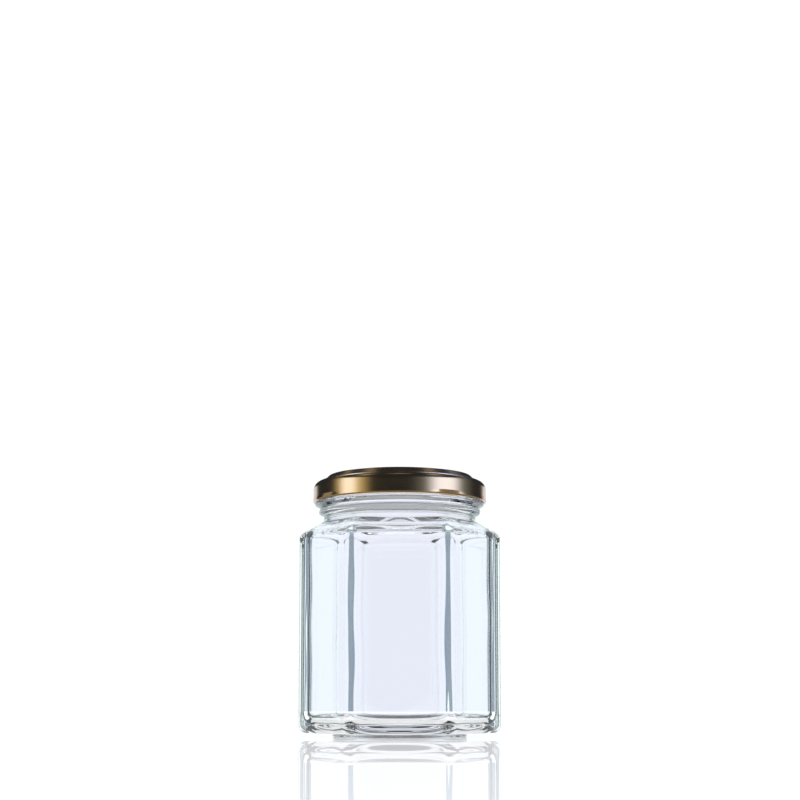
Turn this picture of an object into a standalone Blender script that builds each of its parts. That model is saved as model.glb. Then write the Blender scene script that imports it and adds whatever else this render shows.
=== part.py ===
"""Hexagonal glass jar with a metal twist-off lid. Metres, +Z up, origin at the centre of the base.

The front pane faces -Y and two of the six upright edges lie on the X axis.
"""
import math

import bmesh
import bpy

MM = 0.001
SIDES = 6
SECTOR = 2 * math.pi / SIDES
HALF_SECTOR = SECTOR / 2
FRONT = -math.pi / 2

# Glass body
ACROSS_FLATS = 62.7 * MM
EDGE_RADIUS = 3.7 * MM
PANE_TOP = 70.0 * MM
WALL = 3.0 * MM
INNER_PANE_TOP = 69.0 * MM
HOLLOW_SHARPNESS = 13

# Base and foot
BASE_UNDERSIDE = 1.3 * MM
HEEL_ROUND = 3.1 * MM
FOOT_RADIUS = 22.4 * MM
FOOT_WIDTH = 1.5 * MM
PUSH_UP = 2.0 * MM
FLOOR_LOW = 4.3 * MM
FLOOR_DOME = 2.3 * MM
FLOOR_ROUND = 4.5 * MM

# Neck and mouth
NECK_RADIUS = 27.05 * MM
NECK_TOP = 77.0 * MM
MOUTH_RADIUS = 25.2 * MM
INNER_NECK_TOP = 75.7 * MM

# Roundings of the shoulder: the share of its width that each takes up, then its height
SHOULDER_BEND = (0.3, 2.4 * MM)
SHOULDER_FILLET = (0.2, 2.0 * MM)
INNER_BEND = (0.4, 3.0 * MM)
INNER_FILLET = (0.2, 2.2 * MM)
ROUNDING_STEPS = 4
SLOPE_PASSES = 40

# Rings that show under the lid
LOWER_BEAD_RADIUS = 28.75 * MM
LOWER_BEAD_ROUND = 1.25 * MM
LOWER_BEAD_HEIGHT = 79.25 * MM
BEAD_RADIUS = 30.0 * MM
BEAD_BOTTOM = 80.45 * MM
BEAD_TOP = 82.1 * MM
BEAD_ROOT = 28.1 * MM
BEAD_ROUND = 0.35 * MM

# Finish inside the lid
FINISH_RADIUS = 27.7 * MM
RIM_ROUND = 1.2 * MM
RIM_TOP = 89.6 * MM
THREADS = 4
THREAD_DEPTH = 1.1 * MM
THREAD_HALF_HEIGHT = 0.9 * MM
THREAD_LOW = 85.5 * MM
THREAD_RISE = 2.3 * MM
THREAD_SPAN = math.radians(74)
THREAD_LEAD_IN = math.radians(12)

# Lid
LID_RADIUS = 30.85 * MM
LID_BOTTOM = 82.4 * MM
LID_TOP = 92.0 * MM
LID_SHEET = 0.35 * MM
SKIRT_RADIUS = 30.75 * MM
CURL_ROUND = 0.65 * MM
LID_SHOULDER_TOP = 90.0 * MM
LID_SHOULDER_ROUND = 3.0 * MM
CROWN_RADIUS = 25.7 * MM
CROWN_ROUND = 0.6 * MM
CROWN_FOOT_ROUND = 0.5 * MM
CROWN_LEAN = 46
PANEL_RADIUS = 20.5 * MM
PANEL_DEPTH = 0.7 * MM
PANEL_STEP = 1.2 * MM
LUG_DIRECTION = FRONT + math.radians(34)
LUG_HALF_WIDTH = math.radians(14)
LUG_DEPTH = 0.9 * MM
LUG_TOP = 84.1 * MM

# Directions of the outline points, as angles from the nearest upright edge
EDGE_OFFSETS = (-23, -16, -9, -3, -1.5, 0, 1.5, 3, 9, 16, 23, 30)
LID_SEGMENTS = 60

CREASE = math.radians(38)


def clear_scene():
    for thing in list(bpy.data.objects):
        bpy.data.objects.remove(thing, do_unlink=True)


def jar_directions():
    """Directions of a ring's points, closer together at the six upright edges."""
    return [side * SECTOR + math.radians(offset) for side in range(SIDES) for offset in EDGE_OFFSETS]


def lid_directions():
    return [2 * math.pi * step / LID_SEGMENTS for step in range(LID_SEGMENTS)]


def from_edge(angle):
    """Angle between a direction and the nearest upright edge."""
    return abs((angle + HALF_SECTOR) % SECTOR - HALF_SECTOR)


def outline_radius(angle, apothem, corner):
    """Distance from the axis to a hexagon with rounded corners, in one direction."""
    off_edge = from_edge(angle)
    off_face = HALF_SECTOR - off_edge
    core = apothem - corner
    if apothem * math.tan(off_face) <= core * math.tan(HALF_SECTOR):
        return apothem / math.cos(off_face)
    centre = core / math.cos(HALF_SECTOR)
    reach = corner ** 2 - (centre * math.sin(off_edge)) ** 2
    return centre * math.cos(off_edge) + math.sqrt(max(reach, 0))


def hollow_radius(angle, apothem):
    """Distance from the axis to a hexagon whose corners melt softly into its sides."""
    reach = sum(max(math.cos(angle - FRONT - side * SECTOR), 0) ** HOLLOW_SHARPNESS for side in range(SIDES))
    return apothem / reach ** (1 / HOLLOW_SHARPNESS)


def round_ring(directions, radius, height):
    return [(radius, height) for angle in directions]


def hexagon_ring(directions, apothem, corner, height):
    return [(outline_radius(angle, apothem, corner), height) for angle in directions]


def hollow_ring(directions, apothem, height):
    return [(hollow_radius(angle, apothem), height) for angle in directions]


def arc(centre, radii, start, end, steps):
    """Points (radius, height) along an arc of an ellipse, by angles in degrees from level."""
    points = []
    for step in range(steps + 1):
        angle = math.radians(start + (end - start) * step / steps)
        points.append((centre[0] + radii[0] * math.cos(angle), centre[1] + radii[1] * math.sin(angle)))
    return points


def shoulder_profile(low, high, bend, fillet):
    """Points (share, height) up the shoulder, from the panes at a share of 1 to the neck at 0.

    The bend and the fillet are quarter ellipses, cut where the straight slope is their tangent.
    """
    slope = high - low
    for step in range(SLOPE_PASSES):
        bend_turn = math.atan2(bend[1], slope * bend[0])
        fillet_turn = math.atan2(fillet[1], slope * fillet[0])
        rise = high - low - bend[1] * math.sin(bend_turn) - fillet[1] * math.sin(fillet_turn)
        run = 1 - bend[0] * (1 - math.cos(bend_turn)) - fillet[0] * (1 - math.cos(fillet_turn))
        slope = rise / run
    points = arc((1 - bend[0], low), bend, 0, math.degrees(bend_turn), ROUNDING_STEPS)
    points += arc((fillet[0], high), fillet, 180 + math.degrees(fillet_turn), 180, ROUNDING_STEPS)
    return points


def shoulder_rings(outline, neck_radius, profile):
    """Rings between an outline, given by its radius in each direction, and the round neck."""
    return [[(neck_radius + (side - neck_radius) * share, height) for side in outline]
            for share, height in profile]


def thread_depth(angle, height):
    """Depth of the four slanted ridges that the lid's lugs run under."""
    pitch = 2 * math.pi / THREADS
    along = (angle - LUG_DIRECTION + THREAD_LEAD_IN) % pitch
    if along > THREAD_SPAN:
        return 0
    middle = THREAD_LOW + THREAD_RISE * along / THREAD_SPAN
    across = abs(height - middle) / THREAD_HALF_HEIGHT
    ends = min(along, THREAD_SPAN - along) / THREAD_LEAD_IN
    return THREAD_DEPTH * max(1 - across ** 2, 0) * min(ends, 1)


def base_rings(directions):
    """The underside: a shallow push-up, the round foot that the jar stands on, and the heel."""
    apothem = ACROSS_FLATS / 2
    half = FOOT_WIDTH / 2
    rings = [round_ring(directions, FOOT_RADIUS * share, PUSH_UP) for share in (0.25, 0.6)]
    rings.append(round_ring(directions, FOOT_RADIUS - half - 1.2 * MM, PUSH_UP * 0.8))
    inner_side = arc((FOOT_RADIUS - half, half), (half / 2, half), 180, 270, 2)
    outer_side = arc((FOOT_RADIUS + half, half), (half / 2, half), -90, 0, 2)
    for radius, height in inner_side + outer_side:
        rings.append(round_ring(directions, radius, height))
    rings.append(round_ring(directions, FOOT_RADIUS + half + 0.9 * MM, BASE_UNDERSIDE))
    for step in range(6):
        turn = math.radians(90 * step / 5)
        depth = HEEL_ROUND * (1 - math.sin(turn))
        height = BASE_UNDERSIDE + HEEL_ROUND * (1 - math.cos(turn))
        rings.append(hexagon_ring(directions, apothem - depth, EDGE_RADIUS - depth, height))
    return rings


def neck_rings(directions):
    """The neck, the lower bead and the wide bead under the lid, bottom to top."""
    bead = (LOWER_BEAD_RADIUS - LOWER_BEAD_ROUND, LOWER_BEAD_HEIGHT)
    points = [(NECK_RADIUS + 0.15 * MM, NECK_TOP + 0.5 * MM)]
    points += arc(bead, (LOWER_BEAD_ROUND, LOWER_BEAD_ROUND), -75, 60, 4)
    points += [(BEAD_ROOT, BEAD_BOTTOM)]
    brim = (BEAD_RADIUS - BEAD_ROUND, BEAD_TOP - BEAD_ROUND)
    points += arc(brim, (BEAD_ROUND, BEAD_ROUND), -45, 90, 3)
    points += [(BEAD_ROOT, BEAD_TOP)]
    points += [(FINISH_RADIUS, BEAD_TOP + 0.6 * MM)]
    return [round_ring(directions, radius, height) for radius, height in points]


def finish_rings(directions):
    """The threaded finish and the rounded rim, bottom to top and over into the mouth."""
    rings = []
    low = THREAD_LOW - THREAD_HALF_HEIGHT
    high = THREAD_LOW + THREAD_RISE + THREAD_HALF_HEIGHT
    for step in range(7):
        height = low + (high - low) * step / 6
        rings.append([(FINISH_RADIUS + thread_depth(angle, height), height) for angle in directions])
    wall = (FINISH_RADIUS - MOUTH_RADIUS) / 2
    centre = (MOUTH_RADIUS + wall, RIM_TOP - RIM_ROUND)
    for radius, height in arc(centre, (wall, RIM_ROUND), 18, 180, 6):
        rings.append(round_ring(directions, radius, height))
    return rings


def inner_rings(directions):
    """The inside of the jar, from the mouth down to the middle of the domed floor."""
    apothem = ACROSS_FLATS / 2 - WALL
    outline = [hollow_radius(angle, apothem) for angle in directions]
    profile = shoulder_profile(INNER_PANE_TOP, INNER_NECK_TOP, INNER_BEND, INNER_FILLET)
    rings = shoulder_rings(outline, MOUTH_RADIUS, reversed(profile))
    for step in range(6):
        turn = math.radians(90 * step / 5)
        depth = FLOOR_ROUND * (1 - math.cos(turn))
        height = FLOOR_LOW + FLOOR_ROUND * (1 - math.sin(turn))
        rings.append(hollow_ring(directions, apothem - depth, height))
    flat = apothem - FLOOR_ROUND
    for share in (0.8, 0.6, 0.4, 0.15):
        height = FLOOR_LOW + FLOOR_DOME * (1 - share ** 2) ** 2
        rings.append(hollow_ring(directions, flat * share, height))
    return rings


def place_ring(points, directions, ring):
    for point, angle, (radius, height) in zip(points, directions, ring):
        point.co = (radius * math.cos(angle), radius * math.sin(angle), height)


def next_points(points, new_edges):
    """The points of an extruded loop, in the order of the points they grew from."""
    grown = {vert for edge in new_edges for vert in edge.verts}
    found = []
    for point in points:
        side = next(edge for edge in point.link_edges if edge.other_vert(point) in grown)
        found.append(side.other_vert(point))
    return found


def loft(name, directions, rings, material):
    """Skin a solid through rings, each extruded from the one before, and close both ends."""
    mesh = bpy.data.meshes.new(name)
    work = bmesh.new()
    points = bmesh.ops.create_circle(work, cap_ends=False, segments=len(directions), radius=1)["verts"]
    place_ring(points, directions, rings[0])
    first_edges = list(work.edges)
    edges = first_edges
    for ring in rings[1:]:
        grown = bmesh.ops.extrude_edge_only(work, edges=edges)["geom"]
        new_points = {item for item in grown if isinstance(item, bmesh.types.BMVert)}
        edges = [item for item in grown if isinstance(item, bmesh.types.BMEdge)
                 and item.verts[0] in new_points and item.verts[1] in new_points]
        points = next_points(points, edges)
        place_ring(points, directions, ring)
    for end in (first_edges, edges):
        cap = bmesh.ops.edgeloop_fill(work, edges=end)["faces"]
        bmesh.ops.poke(work, faces=cap)
    bmesh.ops.recalc_face_normals(work, faces=work.faces)
    work.to_mesh(mesh)
    work.free()
    mesh.shade_smooth()
    mesh.set_sharp_from_angle(angle=CREASE)
    mesh.materials.append(material)
    thing = bpy.data.objects.new(name, mesh)
    bpy.context.scene.collection.objects.link(thing)
    return thing


def glass():
    material = bpy.data.materials.new("clear_glass")
    material.use_nodes = True
    shader = material.node_tree.nodes["Principled BSDF"]
    shader.inputs["Base Color"].default_value = (0.93, 0.95, 0.98, 1)
    shader.inputs["Roughness"].default_value = 0.02
    shader.inputs["Metallic"].default_value = 0
    shader.inputs["IOR"].default_value = 1.52
    shader.inputs["Transmission Weight"].default_value = 1
    return material


def gold_lacquer():
    material = bpy.data.materials.new("gold_lacquer")
    material.use_nodes = True
    shader = material.node_tree.nodes["Principled BSDF"]
    shader.inputs["Base Color"].default_value = (0.72, 0.55, 0.31, 1)
    shader.inputs["Roughness"].default_value = 0.22
    shader.inputs["Metallic"].default_value = 1
    return material


def build_jar():
    directions = jar_directions()
    rings = base_rings(directions)
    outline = [outline_radius(angle, ACROSS_FLATS / 2, EDGE_RADIUS) for angle in directions]
    profile = shoulder_profile(PANE_TOP, NECK_TOP, SHOULDER_BEND, SHOULDER_FILLET)
    rings += shoulder_rings(outline, NECK_RADIUS, profile)
    rings += neck_rings(directions)
    rings += finish_rings(directions)
    rings += inner_rings(directions)
    return loft("jar", directions, rings, glass())


def crown_side(top, foot, top_round, foot_round):
    """The leaning side of the crown, between its two rounds."""
    lean = math.radians(CROWN_LEAN)
    points = arc((CROWN_RADIUS - CROWN_ROUND, top - top_round), (top_round, top_round), 90, CROWN_LEAN, 2)
    radius, height = points[-1]
    fall = (height - foot - foot_round * (1 - math.sin(lean))) / math.cos(lean)
    low = (radius + fall * math.sin(lean) + foot_round * math.cos(lean), foot + foot_round)
    return points + arc(low, (foot_round, foot_round), 180 + CROWN_LEAN, 270, 2)


def lid_outer_profile():
    """The lid's outer side from the middle of the panel to the bottom of the curl."""
    panel_top = LID_TOP - PANEL_DEPTH
    points = [(PANEL_RADIUS * 0.3, panel_top), (PANEL_RADIUS, panel_top)]
    points += [(PANEL_RADIUS + PANEL_STEP, LID_TOP)]
    points += crown_side(LID_TOP, LID_SHOULDER_TOP, CROWN_ROUND, CROWN_FOOT_ROUND)
    shoulder = (SKIRT_RADIUS - LID_SHOULDER_ROUND, LID_SHOULDER_TOP - LID_SHOULDER_ROUND)
    points += arc(shoulder, (LID_SHOULDER_ROUND, LID_SHOULDER_ROUND), 90, 0, 4)
    points += [(SKIRT_RADIUS, LUG_TOP)]
    curl = (LID_RADIUS - CURL_ROUND, LID_BOTTOM + CURL_ROUND)
    points += arc(curl, (CURL_ROUND, CURL_ROUND), 0, -90, 3)
    return points


def lid_inner_profile():
    """The lid's inner side from the bottom of the curl back to the middle of the panel."""
    inside = SKIRT_RADIUS - LID_SHEET
    curl = (LID_RADIUS - CURL_ROUND, LID_BOTTOM + CURL_ROUND)
    points = arc(curl, (CURL_ROUND, CURL_ROUND), -140, -230, 2)
    points += [(inside, LUG_TOP)]
    under = LID_SHOULDER_ROUND - LID_SHEET
    shoulder = (SKIRT_RADIUS - LID_SHOULDER_ROUND, LID_SHOULDER_TOP - LID_SHOULDER_ROUND)
    points += arc(shoulder, (under, under), 0, 90, 2)
    foot_round = CROWN_FOOT_ROUND + LID_SHEET
    points += reversed(crown_side(LID_TOP - LID_SHEET, LID_SHOULDER_TOP - LID_SHEET,
                                  CROWN_ROUND - LID_SHEET, foot_round))
    points += [(PANEL_RADIUS + PANEL_STEP, LID_TOP - LID_SHEET)]
    panel_under = LID_TOP - PANEL_DEPTH - LID_SHEET
    points += [(PANEL_RADIUS, panel_under), (PANEL_RADIUS * 0.3, panel_under)]
    return points


def lug_press(angle, height):
    """How far the lower skirt is pressed inwards, at four lugs round the lid."""
    pitch = 2 * math.pi / THREADS
    off_lug = abs((angle - LUG_DIRECTION + pitch / 2) % pitch - pitch / 2)
    if off_lug >= LUG_HALF_WIDTH or height >= LUG_TOP:
        return 0
    across = math.cos(math.pi / 2 * off_lug / LUG_HALF_WIDTH) ** 2
    return LUG_DEPTH * across * (LUG_TOP - height) / (LUG_TOP - LID_BOTTOM)


def build_lid():
    directions = lid_directions()
    rings = []
    for radius, height in lid_outer_profile() + lid_inner_profile():
        near_skirt = radius > LID_RADIUS - 3 * CURL_ROUND
        rings.append([(radius - (lug_press(angle, height) if near_skirt else 0), height)
                      for angle in directions])
    return loft("lid", directions, rings, gold_lacquer())


def main():
    clear_scene()
    build_jar()
    build_lid()


main()
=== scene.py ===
"""Hexagonal glass jar with a gold twist-off lid: the looks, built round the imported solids."""
import math

import bmesh
import bpy
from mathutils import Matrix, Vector, noise


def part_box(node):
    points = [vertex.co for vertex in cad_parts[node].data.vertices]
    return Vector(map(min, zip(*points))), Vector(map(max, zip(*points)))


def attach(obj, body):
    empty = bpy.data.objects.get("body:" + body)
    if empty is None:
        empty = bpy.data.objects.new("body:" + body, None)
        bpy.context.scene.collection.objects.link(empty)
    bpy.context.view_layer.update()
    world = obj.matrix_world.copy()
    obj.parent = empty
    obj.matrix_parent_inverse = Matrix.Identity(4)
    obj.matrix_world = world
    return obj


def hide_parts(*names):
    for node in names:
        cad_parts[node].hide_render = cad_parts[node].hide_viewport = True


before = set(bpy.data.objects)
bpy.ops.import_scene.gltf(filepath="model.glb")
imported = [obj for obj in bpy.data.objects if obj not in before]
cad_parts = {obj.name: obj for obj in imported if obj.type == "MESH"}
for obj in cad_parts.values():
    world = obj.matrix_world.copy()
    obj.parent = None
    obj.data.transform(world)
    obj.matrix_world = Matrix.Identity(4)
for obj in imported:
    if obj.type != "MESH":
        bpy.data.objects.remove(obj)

bl_info = {
    "name": "Hexagonal Glass Jar",
    "version": (1, 0, 0),
    "blender": (4, 5, 0),
    "location": "View3D > Sidebar > Jar",
    "description": "Builds a hexagonal glass jar, its gold twist-off lid and a pale studio stage",
    "category": "Object",
}

MM = 0.001
SIDES = 6
HOLLOW_SHARPNESS = 13
SECTOR = 2 * math.pi / SIDES
HALF_SECTOR = SECTOR / 2
FRONT = -math.pi / 2
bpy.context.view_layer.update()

JAR_LOW, JAR_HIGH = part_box("jar")
LID_LOW, LID_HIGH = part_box("lid")


class GlassSizes(bpy.types.PropertyGroup):
    across_flats: bpy.props.FloatProperty(
        name="Across flats", description="Width of the body between two opposite panes",
        default=JAR_HIGH.y - JAR_LOW.y, unit="LENGTH")
    rim_top: bpy.props.FloatProperty(
        name="Rim height", description="Height of the mouth's rounded rim above the table",
        default=JAR_HIGH.z, unit="LENGTH")
    wall: bpy.props.FloatProperty(
        name="Wall", description="Thickness of the glass between the panes and the hollow",
        default=3.0 * MM, unit="LENGTH")
    edge_radius: bpy.props.FloatProperty(
        name="Edge radius", description="Rounding of the six upright edges outside",
        default=3.7 * MM, unit="LENGTH")
    pane_top: bpy.props.FloatProperty(
        name="Pane height", description="Height at which the panes start to round over",
        default=70.0 * MM, unit="LENGTH")
    neck_radius: bpy.props.FloatProperty(
        name="Neck radius", description="Radius of the neck at its narrowest",
        default=27.05 * MM, unit="LENGTH")
    mouth_radius: bpy.props.FloatProperty(
        name="Mouth radius", description="Radius of the opening",
        default=25.2 * MM, unit="LENGTH")
    ripple: bpy.props.FloatProperty(
        name="Ripple", description="Depth of the slow unevenness that blown glass has inside",
        default=0.35 * MM, unit="LENGTH")
    tint: bpy.props.FloatVectorProperty(
        name="Tint", description="Colour that the clear glass gives to light",
        default=(0.97, 0.985, 0.995), subtype="COLOR")


class LidSizes(bpy.types.PropertyGroup):
    radius: bpy.props.FloatProperty(
        name="Lid radius", description="Radius over the curl at the lower edge",
        default=(LID_HIGH.x - LID_LOW.x) / 2, unit="LENGTH")
    bottom: bpy.props.FloatProperty(
        name="Lower edge", description="Height of the curl's underside above the table",
        default=LID_LOW.z, unit="LENGTH")
    top: bpy.props.FloatProperty(
        name="Crown height", description="Height of the raised crown above the table",
        default=LID_HIGH.z, unit="LENGTH")
    sheet: bpy.props.FloatProperty(
        name="Sheet", description="Thickness of the lacquered tinplate",
        default=0.35 * MM, unit="LENGTH")
    gold: bpy.props.FloatVectorProperty(
        name="Gold", description="Colour of the gold lacquer",
        default=(0.74, 0.50, 0.25), subtype="COLOR")
    lining: bpy.props.FloatVectorProperty(
        name="Lining", description="Colour of the pale lacquer inside the lid",
        default=(0.88, 0.88, 0.90), subtype="COLOR")


class StudioLook(bpy.types.PropertyGroup):
    floor_white: bpy.props.FloatVectorProperty(
        name="Floor", description="Colour of the glossy floor",
        default=(1.0, 1.0, 1.0), subtype="COLOR")
    floor_gloss: bpy.props.FloatProperty(
        name="Floor gloss", description="Strength of the floor's reflection at a glancing angle",
        default=0.6, min=0, max=1, subtype="FACTOR")
    floor_glow: bpy.props.FloatProperty(
        name="Floor glow", description="Share of the floor's white that comes from light below it",
        default=0.6, min=0, max=1, subtype="FACTOR")
    floor_in_lid: bpy.props.FloatVectorProperty(
        name="Floor in the lid", description="Light of the floor that the lid's polished edge picks up",
        default=(0.20, 0.19, 0.18), subtype="COLOR")
    backdrop: bpy.props.FloatVectorProperty(
        name="Backdrop", description="Light of the pale sheet behind the jar",
        default=(0.88, 0.90, 1.0), subtype="COLOR", max=4)
    flag: bpy.props.FloatVectorProperty(
        name="Flag", description="Light left in the dark parts of the studio",
        default=(0.022, 0.028, 0.040), subtype="COLOR")
    glass_flag: bpy.props.FloatVectorProperty(
        name="Flag behind the glass", description="Dark strips that draw the edges of the glass",
        default=(0.14, 0.19, 0.28), subtype="COLOR")
    side_sheet: bpy.props.FloatVectorProperty(
        name="Side sheets", description="Light of the pale sheets beside the glass",
        default=(1.0, 1.15, 1.14), subtype="COLOR", max=4)
    front: bpy.props.FloatVectorProperty(
        name="Front", description="Light that the glass finds in front of it",
        default=(0.40, 0.41, 0.46), subtype="COLOR")
    ceiling: bpy.props.FloatVectorProperty(
        name="Ceiling", description="Light that the glass finds above it",
        default=(0.30, 0.34, 0.40), subtype="COLOR")
    left_glow: bpy.props.FloatVectorProperty(
        name="Left glow", description="Warm spill round the soft panel on the left",
        default=(0.75, 0.72, 0.42), subtype="COLOR", max=4)
    left_panel: bpy.props.FloatVectorProperty(
        name="Left panel", description="Light of the soft panel on the left",
        default=(1.5, 1.7, 2.3), subtype="COLOR", max=4)
    right_glow: bpy.props.FloatVectorProperty(
        name="Right glow", description="Cool spill round the soft panel on the right",
        default=(0.22, 0.28, 0.38), subtype="COLOR", max=4)
    right_panel: bpy.props.FloatVectorProperty(
        name="Right panel", description="Light of the soft panel on the right",
        default=(1.35, 1.75, 3.1), subtype="COLOR", max=4)
    zenith: bpy.props.FloatVectorProperty(
        name="Overhead", description="Light that the lid finds straight above it",
        default=(0.35, 0.35, 0.36), subtype="COLOR")
    sky_behind: bpy.props.FloatVectorProperty(
        name="Sky behind", description="Light that the lid finds above the backdrop",
        default=(0.60, 0.60, 0.62), subtype="COLOR")


# Outline of the body

def from_edge(angle):
    """Angle between a direction and the nearest upright edge."""
    return abs((angle + HALF_SECTOR) % SECTOR - HALF_SECTOR)


def outline_radius(angle, apothem, corner):
    """Distance from the axis to a hexagon with rounded corners, in one direction."""
    off_edge = from_edge(angle)
    off_face = HALF_SECTOR - off_edge
    core = apothem - corner
    if apothem * math.tan(off_face) <= core * math.tan(HALF_SECTOR):
        return apothem / math.cos(off_face)
    centre = core / math.cos(HALF_SECTOR)
    reach = corner ** 2 - (centre * math.sin(off_edge)) ** 2
    return centre * math.cos(off_edge) + math.sqrt(max(reach, 0))


def hollow_radius(angle, apothem):
    """Distance from the axis to a hexagon whose corners melt softly into its sides."""
    reach = sum(max(math.cos(angle - FRONT - side * SECTOR), 0) ** HOLLOW_SHARPNESS for side in range(SIDES))
    return apothem / reach ** (1 / HOLLOW_SHARPNESS)


def arc(centre, radii, start, end, steps):
    """Points (radius, height) along an arc of an ellipse, by angles in degrees from level."""
    points = []
    for step in range(steps + 1):
        angle = math.radians(start + (end - start) * step / steps)
        points.append((centre[0] + radii[0] * math.cos(angle), centre[1] + radii[1] * math.sin(angle)))
    return points


# The shoulder: a rounded edge, a slope and a fillet that turn the hexagon into the round neck

NECK_TOP = 77.0 * MM
SLOPE_PASSES = 40
SHOULDER_STEPS = 14


def shoulder_profile(low, high, bend, fillet, steps):
    """Points (share, height) from the panes at a share of 1 up to the neck at 0. The bend and the
    fillet are quarter ellipses, cut where the straight slope between them is their tangent."""
    slope = high - low
    for step in range(SLOPE_PASSES):
        bend_turn = math.atan2(bend[1], slope * bend[0])
        fillet_turn = math.atan2(fillet[1], slope * fillet[0])
        rise = high - low - bend[1] * math.sin(bend_turn) - fillet[1] * math.sin(fillet_turn)
        run = 1 - bend[0] * (1 - math.cos(bend_turn)) - fillet[0] * (1 - math.cos(fillet_turn))
        slope = rise / run
    points = arc((1 - bend[0], low), bend, 0, math.degrees(bend_turn), steps)
    start = points[-1]
    end = arc((fillet[0], high), fillet, 180 + math.degrees(fillet_turn), 180, steps)
    between = [tuple(low + (high - low) * step / steps for low, high in zip(start, end[0]))
               for step in range(1, steps)]
    return points + between + end


def morph_ring(outline, neck_radius, share, height):
    """A ring between the round neck and an outline given by its radius in each direction."""
    return [(neck_radius + (side - neck_radius) * share, height) for side in outline]


# Rings and the loft that skins them

def round_ring(directions, radius, height):
    """A level circle, as a ring of (radius, height) for each direction."""
    return [(radius, height) for angle in directions]


def hexagon_ring(directions, apothem, corner, height):
    """A level hexagon with rounded corners."""
    return [(outline_radius(angle, apothem, corner), height) for angle in directions]


def place_ring(points, directions, ring):
    """Move a loop of points on to a ring."""
    for point, angle, (radius, height) in zip(points, directions, ring):
        point.co = (radius * math.cos(angle), radius * math.sin(angle), height)


def next_points(points, new_points):
    """The points of an extruded loop, in the order of the points they grew from."""
    found = []
    for point in points:
        side = next(edge for edge in point.link_edges if edge.other_vert(point) in new_points)
        found.append(side.other_vert(point))
    return found


def loft(name, directions, rings, crease, zones=None):
    """Skin a closed solid through rings, each extruded from the one before. zones gives each
    band's material index."""
    work = bmesh.new()
    points = bmesh.ops.create_circle(work, cap_ends=False, segments=len(directions), radius=1)["verts"]
    place_ring(points, directions, rings[0])
    first_edges = list(work.edges)
    edges = first_edges
    for index, ring in enumerate(rings[1:]):
        grown = bmesh.ops.extrude_edge_only(work, edges=edges)["geom"]
        new_points = {item for item in grown if isinstance(item, bmesh.types.BMVert)}
        edges = [item for item in grown if isinstance(item, bmesh.types.BMEdge)
                 and item.verts[0] in new_points and item.verts[1] in new_points]
        points = next_points(points, new_points)
        place_ring(points, directions, ring)
        if zones:
            for face in grown:
                if isinstance(face, bmesh.types.BMFace):
                    face.material_index = zones[index]
    for end, zone in ((first_edges, 0), (edges, -1)):
        cap = bmesh.ops.edgeloop_fill(work, edges=end)["faces"]
        fan = bmesh.ops.poke(work, faces=cap)["faces"]
        for face in fan:
            face.material_index = zones[zone] if zones else 0
    bmesh.ops.recalc_face_normals(work, faces=work.faces)
    mesh = bpy.data.meshes.new(name)
    work.to_mesh(mesh)
    work.free()
    mesh.shade_smooth()
    mesh.set_sharp_from_angle(angle=crease)
    piece = bpy.data.objects.new(name, mesh)
    bpy.context.scene.collection.objects.link(piece)
    return piece


def even_directions(count):
    return [2 * math.pi * step / count for step in range(count)]


CLOSE_STEP = 0.45
CLOSE_STEPS = 12
WIDE_STEPS = 13


def edge_directions():
    """Directions that crowd at the six upright edges, where the glass bends light most."""
    close = [CLOSE_STEP * step for step in range(CLOSE_STEPS)]
    reach = CLOSE_STEP * CLOSE_STEPS
    rest = math.degrees(HALF_SECTOR) - reach
    wide = [reach + rest * (step + 1) / WIDE_STEPS for step in range(WIDE_STEPS)]
    offsets = sorted([-value for value in (close + wide)[1:-1]] + close + wide)
    return [side * SECTOR + math.radians(offset) for side in range(SIDES) for offset in offsets]


# The glass

BASE_UNDERSIDE = 1.3 * MM
HEEL_ROUND = 3.1 * MM
FOOT_RADIUS = 22.4 * MM
FOOT_WIDTH = 1.5 * MM
PUSH_UP = 2.0 * MM
PUSH_UP_EDGE = 2.0 * MM
PUSH_UP_ROUND = 0.9 * MM
HEEL_STEPS = 14
FLOOR_LOW = 4.3 * MM
FLOOR_DOME = 2.3 * MM
FLOOR_ROUND = 4.5 * MM
FLOOR_STEPS = 16
INNER_PANE_TOP = 69.0 * MM
INNER_BEND = (0.4, 3.0 * MM)
INNER_NECK_TOP = 75.7 * MM
INNER_FILLET = (0.2, 2.2 * MM)
SHOULDER_BEND = (0.3, 2.4 * MM)
SHOULDER_FILLET = (0.2, 2.0 * MM)
GUARD = 0.25 * MM
NECK_FLARE = ((0, 0.25 * MM), (0.15 * MM, 0.6 * MM))
LOWER_BEAD = (27.5 * MM, 79.25 * MM)
LOWER_BEAD_ROUND = 1.25 * MM
BEAD_RADIUS = 30.0 * MM
BEAD_BOTTOM = 80.45 * MM
BEAD_TOP = 82.1 * MM
BEAD_ROOT = 28.1 * MM
BEAD_ROUND = 0.35 * MM
FINISH_RADIUS = 27.7 * MM
FINISH_FOOT = 0.4 * MM
MOUTH_RISES = (9 * MM, 5 * MM, 2 * MM)
RIM_ROUND = 1.2 * MM
THREADS = 4
THREAD_DEPTH = 1.1 * MM
THREAD_HALF_HEIGHT = 0.9 * MM
THREAD_LOW = 85.5 * MM
THREAD_RISE = 2.3 * MM
THREAD_SPAN = math.radians(74)
THREAD_LEAD_IN = math.radians(12)
THREAD_STEPS = 14
LUG_DIRECTION = FRONT + math.radians(34)
RIPPLE_SIZE = 11 * MM
RIPPLE_REACH = math.radians(16)
RIPPLE_ON_PANES = 0.12
GLASS_CREASE = math.radians(50)


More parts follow.
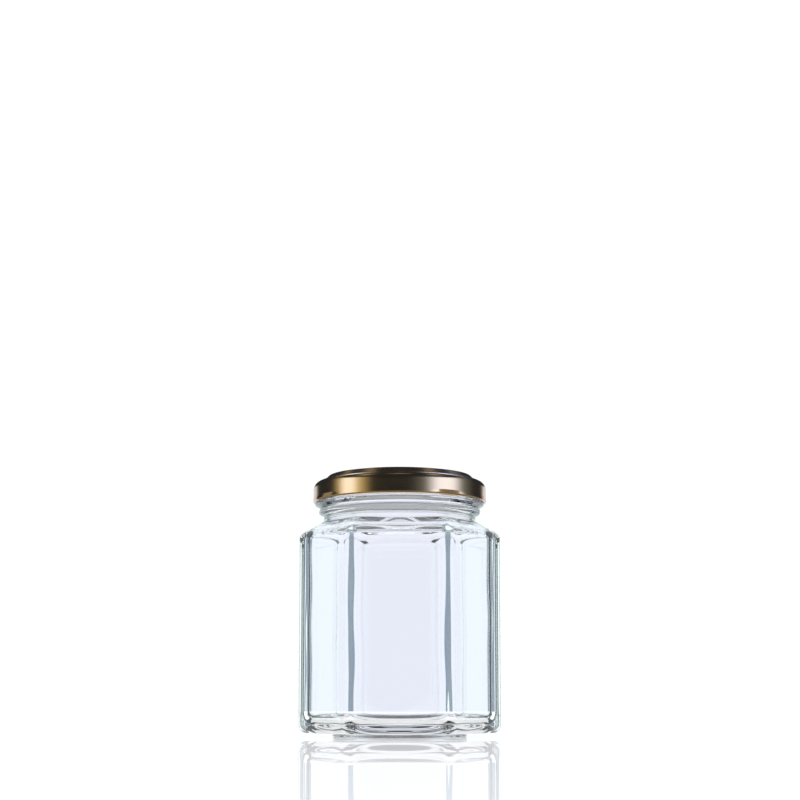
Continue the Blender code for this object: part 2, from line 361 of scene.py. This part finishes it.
def thread_depth(angle, height):
    """Depth of the four slanted ridges that the lid's lugs run under."""
    pitch = 2 * math.pi / THREADS
    along = (angle - LUG_DIRECTION + THREAD_LEAD_IN) % pitch
    if along > THREAD_SPAN:
        return 0
    middle = THREAD_LOW + THREAD_RISE * along / THREAD_SPAN
    across = abs(height - middle) / THREAD_HALF_HEIGHT
    ends = min(along, THREAD_SPAN - along) / THREAD_LEAD_IN
    return THREAD_DEPTH * max(1 - across ** 2, 0) * min(ends, 1)


def base_rings(directions, sizes):
    """The underside: a shallow push-up, the round foot that the jar stands on, and the heel."""
    apothem = sizes.across_flats / 2
    half = FOOT_WIDTH / 2
    points = [(FOOT_RADIUS * share, PUSH_UP) for share in (0.05, 0.3, 0.6, 0.8)]
    edge = (FOOT_RADIUS - half - PUSH_UP_EDGE, PUSH_UP * 0.75)
    points += arc(edge, (PUSH_UP_ROUND, PUSH_UP * 0.25), 90, 0, 4)
    points += arc((FOOT_RADIUS - half, half), (half / 2, half), 180, 270, 6)
    points += arc((FOOT_RADIUS + half, half), (half / 2, half), -90, 0, 6)
    fillet = BASE_UNDERSIDE - half
    points += arc((FOOT_RADIUS + 1.5 * half + fillet, half), (fillet, fillet), 180, 90, 4)[1:]
    rings = [round_ring(directions, radius, height) for radius, height in points]
    for step in range(HEEL_STEPS + 1):
        turn = math.radians(90 * step / HEEL_STEPS)
        depth = HEEL_ROUND * (1 - math.sin(turn))
        height = BASE_UNDERSIDE + HEEL_ROUND * (1 - math.cos(turn))
        rings.append(hexagon_ring(directions, apothem - depth, sizes.edge_radius - depth, height))
    return rings


def outer_rings(directions, sizes):
    """The outside from the panes up to the rim."""
    apothem = sizes.across_flats / 2
    rings = [hexagon_ring(directions, apothem, sizes.edge_radius, height)
             for height in guarded(BASE_UNDERSIDE + HEEL_ROUND, sizes.pane_top, 8)]
    outline = [outline_radius(angle, apothem, sizes.edge_radius) for angle in directions]
    profile = shoulder_profile(sizes.pane_top, NECK_TOP, SHOULDER_BEND, SHOULDER_FILLET, SHOULDER_STEPS)
    for share, height in profile:
        rings.append(morph_ring(outline, sizes.neck_radius, share, height))
    points = [(sizes.neck_radius + out, NECK_TOP + rise) for out, rise in NECK_FLARE]
    points += arc(LOWER_BEAD, (LOWER_BEAD_ROUND, LOWER_BEAD_ROUND), -75, 60, 12)
    points += [(BEAD_ROOT, BEAD_BOTTOM)]
    brim = (BEAD_RADIUS - BEAD_ROUND, BEAD_TOP - BEAD_ROUND)
    points += arc(brim, (BEAD_ROUND, BEAD_ROUND), -45, 90, 8)
    points += [(BEAD_ROOT, BEAD_TOP), (FINISH_RADIUS, BEAD_TOP + FINISH_FOOT)]
    rings += [round_ring(directions, radius, height) for radius, height in points]
    low = THREAD_LOW - THREAD_HALF_HEIGHT
    high = THREAD_LOW + THREAD_RISE + THREAD_HALF_HEIGHT
    for step in range(THREAD_STEPS + 1):
        height = low + (high - low) * step / THREAD_STEPS
        rings.append([(FINISH_RADIUS + thread_depth(angle, height), height) for angle in directions])
    half_wall = (FINISH_RADIUS - sizes.mouth_radius) / 2
    centre = (sizes.mouth_radius + half_wall, sizes.rim_top - RIM_ROUND)
    rings += [round_ring(directions, radius, height)
              for radius, height in arc(centre, (half_wall, RIM_ROUND), 16, 180, 14)]
    return rings


def guarded(start, end, count):
    """Heights between two bends, with one close to each so that shading stays flat up to the bend."""
    guard = math.copysign(GUARD, end - start)
    between = [start + (end - start) * step / count for step in range(1, count)]
    return [start + guard] + between + [end - guard]


def hollow_ring(directions, apothem, height):
    """A level section of the hollow's soft hexagon."""
    return [(hollow_radius(angle, apothem), height) for angle in directions]


def inner_rings(directions, sizes):
    """The hollow from the mouth down to the middle of the domed floor."""
    apothem = sizes.across_flats / 2 - sizes.wall
    rings = [round_ring(directions, sizes.mouth_radius, NECK_TOP + rise) for rise in MOUTH_RISES]
    outline = [hollow_radius(angle, apothem) for angle in directions]
    profile = shoulder_profile(INNER_PANE_TOP, INNER_NECK_TOP, INNER_BEND, INNER_FILLET, SHOULDER_STEPS)
    for share, height in reversed(profile):
        rings.append(morph_ring(outline, sizes.mouth_radius, share, height))
    for height in guarded(INNER_PANE_TOP, FLOOR_LOW + FLOOR_ROUND, 24):
        rings.append(hollow_ring(directions, apothem, height))
    for step in range(FLOOR_STEPS + 1):
        turn = math.radians(90 * step / FLOOR_STEPS)
        depth = FLOOR_ROUND * (1 - math.cos(turn))
        height = FLOOR_LOW + FLOOR_ROUND * (1 - math.sin(turn))
        rings.append(hollow_ring(directions, apothem - depth, height))
    flat = apothem - FLOOR_ROUND
    for step in range(1, FLOOR_STEPS):
        share = 1 - step / FLOOR_STEPS
        height = FLOOR_LOW + FLOOR_DOME * (1 - share ** 2) ** 2
        rings.append(hollow_ring(directions, flat * share, height))
    return rings


def ripple(ring, directions, depth):
    """The slow unevenness that a blown hollow has, mostly along its upright edges."""
    moved = []
    for angle, (radius, height) in zip(directions, ring):
        place = Vector((radius * math.cos(angle), radius * math.sin(angle), height * 0.7)) / RIPPLE_SIZE
        near_edge = max(1 - from_edge(angle) / RIPPLE_REACH, 0)
        swell = depth * (RIPPLE_ON_PANES + (1 - RIPPLE_ON_PANES) * near_edge ** 2)
        moved.append((radius + swell * noise.noise(place), height))
    return moved


def make_glass(sizes):
    """The whole body as one closed skin, from the underside up the outside and down the hollow."""
    directions = edge_directions()
    hollow = [ripple(ring, directions, sizes.ripple) for ring in inner_rings(directions, sizes)]
    rings = base_rings(directions, sizes) + outer_rings(directions, sizes) + hollow
    piece = loft("glass_jar", directions, rings, GLASS_CREASE)
    piece.data.materials.append(clear_glass(sizes.tint))
    return piece


# The lid

LID_SEGMENTS = 240
CURL_ROUND = 0.65 * MM
SKIRT_INSET = 0.1 * MM
LID_SHOULDER_DROP = 2.0 * MM
LID_SHOULDER_ROUND = 3.0 * MM
CROWN_RADIUS = 25.7 * MM
CROWN_ROUND = 0.6 * MM
CROWN_FOOT_ROUND = 0.5 * MM
CROWN_LEAN = 46
PANEL_RADIUS = 20.5 * MM
PANEL_DEPTH = 0.7 * MM
PANEL_STEP = 1.2 * MM
LUG_HALF_WIDTH = math.radians(14)
LUG_DEPTH = 0.9 * MM
LUG_RISE = 1.7 * MM
SKIRT_STEPS = 12
STEPS_ABOVE_LUG = 3
SKIRT_BAND = 3 * CURL_ROUND
LID_CREASE = math.radians(60)
OUTSIDE, LINING = range(2)


def crown_side(top, foot, top_round, foot_round):
    """The leaning side of the crown, between its two rounds."""
    lean = math.radians(CROWN_LEAN)
    centre = (CROWN_RADIUS - CROWN_ROUND, top - top_round)
    points = arc(centre, (top_round, top_round), 90, CROWN_LEAN, 8)
    radius, height = points[-1]
    fall = (height - foot - foot_round * (1 - math.sin(lean))) / math.cos(lean)
    low = (radius + fall * math.sin(lean) + foot_round * math.cos(lean), foot + foot_round)
    return points + arc(low, (foot_round, foot_round), 180 + CROWN_LEAN, 270, 6)


def lid_outside(sizes):
    """The lid's outer side from the middle of the panel to the bottom of the curl."""
    skirt = sizes.radius - SKIRT_INSET
    panel_top = sizes.top - PANEL_DEPTH
    shoulder_top = sizes.top - LID_SHOULDER_DROP
    points = [(PANEL_RADIUS * share, panel_top) for share in (0.04, 0.3, 0.6, 0.85)]
    half = PANEL_STEP / 2
    points += arc((PANEL_RADIUS, panel_top + PANEL_DEPTH / 2), (half, PANEL_DEPTH / 2), -90, 0, 5)
    step_top = (PANEL_RADIUS + 2 * half, sizes.top - PANEL_DEPTH / 2)
    points += arc(step_top, (half, PANEL_DEPTH / 2), 180, 90, 5)[1:]
    points += crown_side(sizes.top, shoulder_top, CROWN_ROUND, CROWN_FOOT_ROUND)
    shoulder = (skirt - LID_SHOULDER_ROUND, shoulder_top - LID_SHOULDER_ROUND)
    points += arc(shoulder, (LID_SHOULDER_ROUND, LID_SHOULDER_ROUND), 90, 0, 16)
    curl = (sizes.radius - CURL_ROUND, sizes.bottom + CURL_ROUND)
    low = sizes.bottom + LUG_RISE - curl[1]
    points += [(skirt + SKIRT_INSET * step / SKIRT_STEPS, curl[1] + low * (1 - step / SKIRT_STEPS))
               for step in range(-STEPS_ABOVE_LUG, SKIRT_STEPS)]
    points += arc(curl, (CURL_ROUND, CURL_ROUND), 0, -90, 12)
    return points


def lid_inside(sizes):
    """The lid's inner side from the bottom of the curl back to the middle of the panel."""
    skirt = sizes.radius - SKIRT_INSET
    inside = skirt - sizes.sheet
    shoulder_top = sizes.top - LID_SHOULDER_DROP
    curl = (sizes.radius - CURL_ROUND, sizes.bottom + CURL_ROUND)
    points = arc(curl, (CURL_ROUND, CURL_ROUND), -100, -230, 10)
    lug_top = sizes.bottom + LUG_RISE
    bulge = sizes.bottom + 2 * CURL_ROUND
    points += [(inside, bulge + (lug_top - bulge) * step / 6) for step in range(7)]
    under = LID_SHOULDER_ROUND - sizes.sheet
    shoulder = (skirt - LID_SHOULDER_ROUND, shoulder_top - LID_SHOULDER_ROUND)
    points += arc(shoulder, (under, under), 0, 90, 8)
    thin = CROWN_ROUND - sizes.sheet
    wide = CROWN_FOOT_ROUND + sizes.sheet
    points += reversed(crown_side(sizes.top - sizes.sheet, shoulder_top - sizes.sheet, thin, wide))
    points += [(PANEL_RADIUS + PANEL_STEP, sizes.top - sizes.sheet)]
    panel_under = sizes.top - PANEL_DEPTH - sizes.sheet
    points += [(PANEL_RADIUS * share, panel_under) for share in (1, 0.6, 0.3, 0.04)]
    return points


def lug_press(angle, height, bottom):
    """How far the lower skirt is pressed inwards, at four lugs round the lid."""
    pitch = 2 * math.pi / THREADS
    off_lug = abs((angle - LUG_DIRECTION + pitch / 2) % pitch - pitch / 2)
    top = bottom + LUG_RISE
    if off_lug >= LUG_HALF_WIDTH or height >= top:
        return 0
    across = math.cos(math.pi / 2 * off_lug / LUG_HALF_WIDTH) ** 2
    return LUG_DEPTH * across * (top - height) / LUG_RISE


def make_lid(sizes):
    """The lid as one closed skin: gold outside, pale lining inside."""
    directions = even_directions(LID_SEGMENTS)
    outside = lid_outside(sizes)
    inside = lid_inside(sizes)
    rings = []
    for radius, height in outside + inside:
        near_skirt = radius > sizes.radius - SKIRT_BAND
        rings.append([(radius - (lug_press(angle, height, sizes.bottom) if near_skirt else 0), height)
                      for angle in directions])
    zones = [OUTSIDE] * len(outside) + [LINING] * (len(inside) - 1)
    piece = loft("gold_lid", directions, rings, LID_CREASE, zones)
    piece.data.materials.append(gold_lacquer(sizes.gold))
    piece.data.materials.append(pale_lining(sizes.lining))
    return piece


# Materials

class Socket:
    """A node's output in one node tree; arithmetic on it adds Math nodes."""

    def __init__(self, tree, output):
        self.tree = tree
        self.output = output

    def __add__(self, other):
        return maths(self.tree, "ADD", self, other)

    def __radd__(self, other):
        return maths(self.tree, "ADD", other, self)

    def __sub__(self, other):
        return maths(self.tree, "SUBTRACT", self, other)

    def __rsub__(self, other):
        return maths(self.tree, "SUBTRACT", other, self)

    def __mul__(self, other):
        return maths(self.tree, "MULTIPLY", self, other)

    def __rmul__(self, other):
        return maths(self.tree, "MULTIPLY", other, self)


def add_node(tree, kind, settings=None, inputs=None, output=0):
    """Add a node, set its settings first, then its sockets' values or links."""
    node = tree.nodes.new(kind)
    for name, value in (settings or {}).items():
        setattr(node, name, value)
    for name, value in (inputs or {}).items():
        if isinstance(value, Socket):
            tree.links.new(value.output, node.inputs[name])
        else:
            node.inputs[name].default_value = value
    return Socket(tree, node.outputs[output])


def maths(tree, operation, *values):
    """A Math node on all the values that its operation takes."""
    return add_node(tree, "ShaderNodeMath", {"operation": operation}, dict(enumerate(values)))


def new_material(name):
    """A material with its node tree and its shader."""
    material = bpy.data.materials.new(name)
    material.use_nodes = True
    return material, material.node_tree, material.node_tree.nodes["Principled BSDF"]


def feed(tree, shader, **values):
    """Set the shader's sockets; an underscore in a name stands for a space."""
    for name, value in values.items():
        socket = shader.inputs[name.replace("_", " ")]
        if isinstance(value, Socket):
            tree.links.new(value.output, socket)
        else:
            socket.default_value = value


def cloudy(tree, **inputs):
    """Noise that is fixed to the piece."""
    place = add_node(tree, "ShaderNodeTexCoord", output="Object")
    return add_node(tree, "ShaderNodeTexNoise", None, {"Vector": place, **inputs})


GLASS_IOR = 1.52


def clear_glass(tint):
    """Flint glass whose faint tint drifts a little from place to place."""
    material, tree, shader = new_material("clear_glass")
    cloud = cloudy(tree, Scale=30, Detail=2)
    clearer = [1 - (1 - share) / 2 for share in tint]
    colour = tinted(tree, cloud, tint, clearer)
    feed(tree, shader, Base_Color=colour, Metallic=0, Roughness=0, IOR=GLASS_IOR, Transmission_Weight=1)
    return material


def gold_lacquer(gold):
    """Gold lacquer over tinplate: fine rolling grain under a clear coat."""
    material, tree, shader = new_material("gold_lacquer")
    cloud = cloudy(tree, Scale=90, Detail=4, Roughness=0.6)
    fine = cloudy(tree, Scale=2600, Detail=2)
    rough = 0.14 + cloud * 0.07 + fine * 0.04
    bump = add_node(tree, "ShaderNodeBump", None, {"Height": fine, "Strength": 0.04, "Distance": 0.0002},
                    output="Normal")
    feed(tree, shader, Base_Color=(*gold, 1), Metallic=1, Roughness=rough, Normal=bump,
         Coat_Weight=0.4, Coat_Roughness=0.12, Coat_IOR=1.5)
    return material


def pale_lining(colour):
    """The pale lacquer inside the lid."""
    material, tree, shader = new_material("pale_lining")
    cloud = cloudy(tree, Scale=140, Detail=3)
    rough = 0.3 + cloud * 0.12
    feed(tree, shader, Base_Color=(*colour, 1), Metallic=0, Roughness=rough)
    return material


# The stage

PHOTO_SIDE = 800
AXIS_X = 399.7
HORIZON_Y = 704
PRINCIPAL_Y = 520
FLOOR_Y = 737
PIXELS_PER_METRE = 2845
CAMERA_DISTANCE = 560 * MM
TILT_PASSES = 30
FLOOR_REACH = 1.5
FLOOR_BEHIND = 0.2
FLOOR_IOR = 1.45
FLOOR_LIGHT = 1.1

# Where the lights stand round the jar, in degrees. A window is (from, to, softness) and an edge
# is (start, end). A bearing is the side of the lid that mirrors a light, an aside is the turn from
# the camera to either side, and a climb is the height above the level.
LEFT_GLOW_BEARING = (-38, -30, 13)
LEFT_PANEL_BEARING = (-37.5, -33.5, 7)
RIGHT_GLOW_BEARING = (25, 39, 20)
RIGHT_PANEL_BEARING = (27.5, 35, 12)
PANEL_CLIMB = (39.6, 47.8)
OVERHEAD_CLIMB = (80, 88)
LID_BACKDROP_ASIDE = (138, 150)
LID_BACKDROP_CLIMB = (9, 14)
SKY_CLIMB = (54.3, 71.3)
SKY_BEARING = (25, 50, 8)
FRONT_ASIDE = (35, 50)
BACKDROP_ASIDE = (155, 163)
FLAG_ASIDE = (137, 159, 3)
CEILING_CLIMB = (30, 42)
MIRRORED_FRONT_ASIDE = (70, 100)
MIRRORED_FRONT = (0.95, 0.95, 0.98)
FILL_LIGHT = (1.3, 1.3, 1.3)
SEEN_WHITE = (1.05, 1.05, 1.05)


def camera_pitch():
    """The upward tilt and focal length in pixels that put the horizon and the jar where they are."""
    tilt = 0
    for step in range(TILT_PASSES):
        focal = PIXELS_PER_METRE * CAMERA_DISTANCE * math.cos(tilt)
        tilt = math.atan((HORIZON_Y - PRINCIPAL_Y) / focal)
    return tilt, focal


def camera_height(tilt, focal):
    """The height at which the middle of the base falls on its place in the picture."""
    down = math.atan((FLOOR_Y - PRINCIPAL_Y) / focal) - tilt
    return CAMERA_DISTANCE * math.tan(down)


def make_camera():
    """The camera in front of the jar, low and tilted up a little, as in the photograph."""
    tilt, focal = camera_pitch()
    data = bpy.data.cameras.new("camera")
    data.sensor_width = 36
    data.lens = focal / PHOTO_SIDE * data.sensor_width
    data.shift_x = -(AXIS_X - PHOTO_SIDE / 2) / PHOTO_SIDE
    data.shift_y = (PRINCIPAL_Y - PHOTO_SIDE / 2) / PHOTO_SIDE
    data.clip_start = 0.01
    camera = bpy.data.objects.new("camera", data)
    camera.location = (0, -CAMERA_DISTANCE, camera_height(tilt, focal))
    camera.rotation_euler = (math.pi / 2 + tilt, 0, 0)
    bpy.context.scene.collection.objects.link(camera)
    bpy.context.scene.camera = camera


def make_floor(look):
    """A glossy white floor that runs from behind the jar to well in front of it."""
    work = bmesh.new()
    bmesh.ops.create_grid(work, x_segments=2, y_segments=2, size=FLOOR_REACH)
    bmesh.ops.translate(work, verts=work.verts, vec=(0, FLOOR_BEHIND - FLOOR_REACH, 0))
    mesh = bpy.data.meshes.new("floor")
    work.to_mesh(mesh)
    work.free()
    floor = bpy.data.objects.new("floor", mesh)
    bpy.context.scene.collection.objects.link(floor)
    material = bpy.data.materials.new("glossy_floor")
    material.use_nodes = True
    tree = material.node_tree
    tree.nodes.clear()
    colour = (*look.floor_white, 1)
    paint = add_node(tree, "ShaderNodeBsdfDiffuse", None, {"Color": colour})
    lit = add_node(tree, "ShaderNodeEmission", None, {"Color": colour, "Strength": FLOOR_LIGHT})
    white = add_node(tree, "ShaderNodeMixShader", None, {0: look.floor_glow, 1: paint, 2: lit})
    rays = add_node(tree, "ShaderNodeLightPath").output.node.outputs
    glossy, sharp = [Socket(tree, rays["Is " + kind + " Ray"]) for kind in ("Glossy", "Singular")]
    direct = 1 - ramp(tree, Socket(tree, rays["Diffuse Depth"]), 0, 1)
    shaded = add_node(tree, "ShaderNodeEmission", None, {"Color": (*look.floor_in_lid, 1), "Strength": 1})
    in_lid = glossy * (1 - sharp) * direct
    white = add_node(tree, "ShaderNodeMixShader", None, {0: in_lid, 1: white, 2: shaded})
    gloss = add_node(tree, "ShaderNodeBsdfGlossy", None, {"Color": (1, 1, 1, 1), "Roughness": 0})
    glancing = add_node(tree, "ShaderNodeFresnel", None, {"IOR": FLOOR_IOR}) * look.floor_gloss
    mixed = add_node(tree, "ShaderNodeMixShader", None, {0: glancing, 1: white, 2: gloss})
    add_node_output(tree, "ShaderNodeOutputMaterial", mixed)
    mesh.materials.append(material)


def add_node_output(tree, kind, surface):
    """Send a shader to the material's or the world's output."""
    node = tree.nodes.new(kind)
    tree.links.new(surface.output, node.inputs["Surface"])


def ramp(tree, value, low, high):
    """0 below low, 1 above high, with a soft step between."""
    return add_node(tree, "ShaderNodeMapRange", {"interpolation_type": "SMOOTHSTEP"},
                    {"Value": value, "From Min": low, "From Max": high})


def window(tree, value, low, high, soft):
    """1 between low and high, falling to 0 over the soft width at both ends."""
    return ramp(tree, value, low - soft, low) * (1 - ramp(tree, value, high, high + soft))


def tinted(tree, factor, first, second):
    """One colour fading to another."""
    first = first if isinstance(first, Socket) else (*first, 1)
    second = second if isinstance(second, Socket) else (*second, 1)
    return add_node(tree, "ShaderNodeMix", {"data_type": "RGBA"}, {0: factor, 6: first, 7: second}, 2)


def make_world(look):
    """Soft studio light: a pale backdrop behind, dark flags beside it, and a soft panel at each
    side. The glass and the lid each have their own set of flags."""
    world = bpy.data.worlds.new("studio")
    world.use_nodes = True
    tree = world.node_tree
    tree.nodes.clear()
    way = add_node(tree, "ShaderNodeTexCoord", output="Generated")
    split = add_node(tree, "ShaderNodeSeparateXYZ", None, {0: way})
    across, along, up = [Socket(tree, split.output.node.outputs[axis]) for axis in range(3)]
    turn = maths(tree, "ARCTAN2", across, along * -1) * math.degrees(1)
    climb = maths(tree, "ARCSINE", up) * math.degrees(1)
    aside = maths(tree, "ABSOLUTE", turn)
    rays = add_node(tree, "ShaderNodeLightPath").output.node.outputs
    seen, mirrored, sharp = [Socket(tree, rays["Is " + kind + " Ray"]) for kind in
                             ("Camera", "Reflection", "Singular")]
    scattered = ramp(tree, Socket(tree, rays["Diffuse Depth"]), 0, 1)

    bearing = maths(tree, "ARCTAN2", across, 1 - along) * math.degrees(1)
    low = 1 - ramp(tree, climb, *PANEL_CLIMB)
    on_lid = tinted(tree, ramp(tree, climb, *OVERHEAD_CLIMB), look.flag, look.zenith)
    for place, colour in ((LEFT_GLOW_BEARING, look.left_glow), (LEFT_PANEL_BEARING, look.left_panel),
                          (RIGHT_GLOW_BEARING, look.right_glow), (RIGHT_PANEL_BEARING, look.right_panel)):
        on_lid = tinted(tree, window(tree, bearing, *place) * low, on_lid, colour)
    behind = ramp(tree, aside, *LID_BACKDROP_ASIDE) * (1 - ramp(tree, climb, *LID_BACKDROP_CLIMB))
    on_lid = tinted(tree, behind, on_lid, look.backdrop)
    high = ramp(tree, climb, *SKY_CLIMB) * window(tree, maths(tree, "ABSOLUTE", bearing), *SKY_BEARING)
    on_lid = tinted(tree, high, on_lid, look.sky_behind)

    through = tinted(tree, ramp(tree, aside, *FRONT_ASIDE), look.front, look.side_sheet)
    through = tinted(tree, ramp(tree, aside, *BACKDROP_ASIDE), through, look.backdrop)
    through = tinted(tree, window(tree, aside, *FLAG_ASIDE), through, look.glass_flag)
    through = tinted(tree, ramp(tree, climb, *CEILING_CLIMB), through, look.ceiling)
    off_glass = tinted(tree, ramp(tree, aside, *MIRRORED_FRONT_ASIDE), MIRRORED_FRONT, look.side_sheet)
    on_glass = tinted(tree, mirrored, through, off_glass)

    light = tinted(tree, sharp, on_lid, on_glass)
    light = tinted(tree, scattered, light, FILL_LIGHT)
    light = tinted(tree, seen, light, SEEN_WHITE)
    background = add_node(tree, "ShaderNodeBackground", None, {"Color": light, "Strength": 1})
    add_node_output(tree, "ShaderNodeOutputWorld", background)
    bpy.context.scene.world = world
    bpy.context.scene.view_settings.view_transform = "Standard"


# Operators

class JAR_OT_glass(bpy.types.Operator):
    """Build the hollow glass body in place of its solid"""
    bl_idname = "jar.glass"
    bl_label = "Glass body"

    def execute(self, context):
        piece = make_glass(context.scene.jar_glass)
        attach(piece, "root")
        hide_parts("jar")
        return {"FINISHED"}


class JAR_OT_lid(bpy.types.Operator):
    """Build the gold twist-off lid in place of its solid"""
    bl_idname = "jar.lid"
    bl_label = "Lid"

    def execute(self, context):
        piece = make_lid(context.scene.jar_lid)
        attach(piece, "root")
        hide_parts("lid")
        return {"FINISHED"}


class JAR_OT_stage(bpy.types.Operator):
    """Set up the camera, the pale floor and the studio light"""
    bl_idname = "jar.stage"
    bl_label = "Stage"

    def execute(self, context):
        look = context.scene.jar_studio
        make_camera()
        make_floor(look)
        make_world(look)
        return {"FINISHED"}


class JAR_PT_panel(bpy.types.Panel):
    """The sizes, the colours and a button for each piece"""
    bl_label = "Hexagonal jar"
    bl_idname = "JAR_PT_panel"
    bl_space_type = "VIEW_3D"
    bl_region_type = "UI"
    bl_category = "Jar"

    def draw(self, context):
        for group in (context.scene.jar_glass, context.scene.jar_lid, context.scene.jar_studio):
            box = self.layout.box()
            for name in group.__annotations__:
                box.prop(group, name)
        for operator in OPERATORS:
            self.layout.operator(operator.bl_idname)


OPERATORS = (JAR_OT_stage, JAR_OT_glass, JAR_OT_lid)
GROUPS = {"jar_glass": GlassSizes, "jar_lid": LidSizes, "jar_studio": StudioLook}


def register():
    for group in GROUPS.values():
        bpy.utils.register_class(group)
    for name, group in GROUPS.items():
        setattr(bpy.types.Scene, name, bpy.props.PointerProperty(type=group))
    for cls in (*OPERATORS, JAR_PT_panel):
        bpy.utils.register_class(cls)


def unregister():
    for cls in (JAR_PT_panel, *OPERATORS):
        bpy.utils.unregister_class(cls)
    for name, group in GROUPS.items():
        delattr(bpy.types.Scene, name)
        bpy.utils.unregister_class(group)


def main():
    register()
    bpy.ops.jar.stage()
    bpy.ops.jar.glass()
    bpy.ops.jar.lid()


if __name__ == "__main__":
    main()
